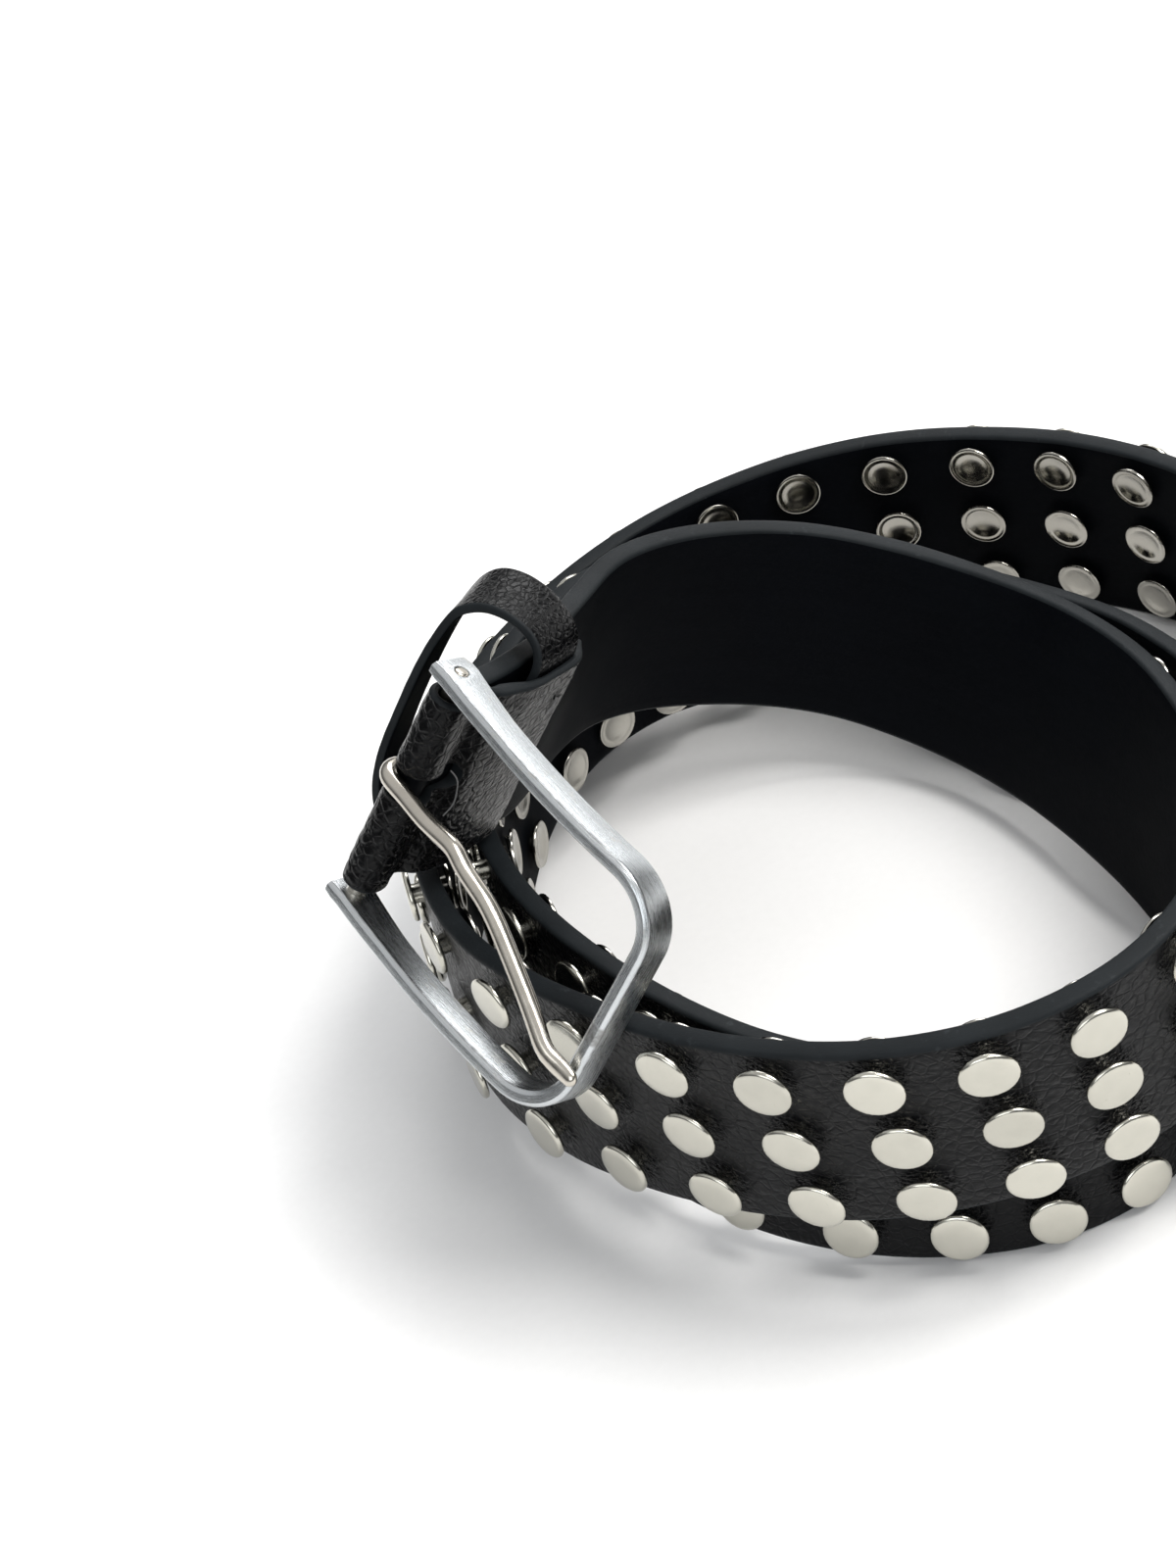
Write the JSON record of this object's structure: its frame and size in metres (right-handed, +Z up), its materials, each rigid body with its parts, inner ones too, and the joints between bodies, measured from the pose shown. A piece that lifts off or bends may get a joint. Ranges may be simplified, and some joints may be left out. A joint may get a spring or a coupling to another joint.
{
  "type": "studded leather belt",
  "caption": "Coiled leather belt with rows of flat studs, a square wire-prong buckle, a leather keeper loop and a rounded, punched tail.",
  "frame": {"origin": "under the middle of the whole coiled belt, on the surface that it stands on", "axes": "+Z up along the coil's axis, -Y towards the front, where the outer turn's studs show, and the buckle at -X"},
  "size_m": [0.174, 0.1819, 0.0977],
  "materials": {
    "leather": "pebbled black grain",
    "keeper_leather": "smooth black grain",
    "stud_metal": "polished nickel",
    "buckle_metal": "satin",
    "prong_metal": "polished"
  },
  "bodies": {
    "belt": {"strap": "leather", "keeper_loop": "keeper_leather", "stud_outer_1_lower": "stud_metal", "stud_outer_1_middle": "stud_metal", "stud_outer_1_upper": "stud_metal", "stud_outer_2_lower": "stud_metal", "stud_outer_2_middle": "stud_metal", "stud_outer_2_upper": "stud_metal", "stud_outer_3_lower": "stud_metal", "stud_outer_3_middle": "stud_metal", "stud_outer_3_upper": "stud_metal", "stud_outer_4_lower": "stud_metal", "stud_outer_4_middle": "stud_metal", "stud_outer_4_upper": "stud_metal", "stud_outer_5_lower": "stud_metal", "stud_outer_5_middle": "stud_metal", "stud_outer_5_upper": "stud_metal", "stud_outer_6_lower": "stud_metal", "stud_outer_6_middle": "stud_metal", "stud_outer_6_upper": "stud_metal", "stud_outer_7_lower": "stud_metal", "stud_outer_7_middle": "stud_metal", "stud_outer_7_upper": "stud_metal", "stud_outer_8_lower": "stud_metal", "stud_outer_8_middle": "stud_metal", "stud_outer_8_upper": "stud_metal"},
    "buckle": {"buckle_frame": "buckle_metal"},
    "tongue": {"prong": "prong_metal"}
  },
  "joints": [
    {"name": "buckle_swivel", "type": "hinge", "parent": "belt", "child": "buckle", "pos_m": [-0.06905, -0.01384, 0.0771], "axis": [-0.633, 0.043, -0.773], "range_deg": [0, 120]},
    {"name": "prong_hinge", "type": "hinge", "parent": "buckle", "child": "tongue", "pos_m": [-0.06905, -0.01384, 0.0771], "axis": [-0.633, 0.043, -0.773], "range_deg": [0, 80]}
  ]
}
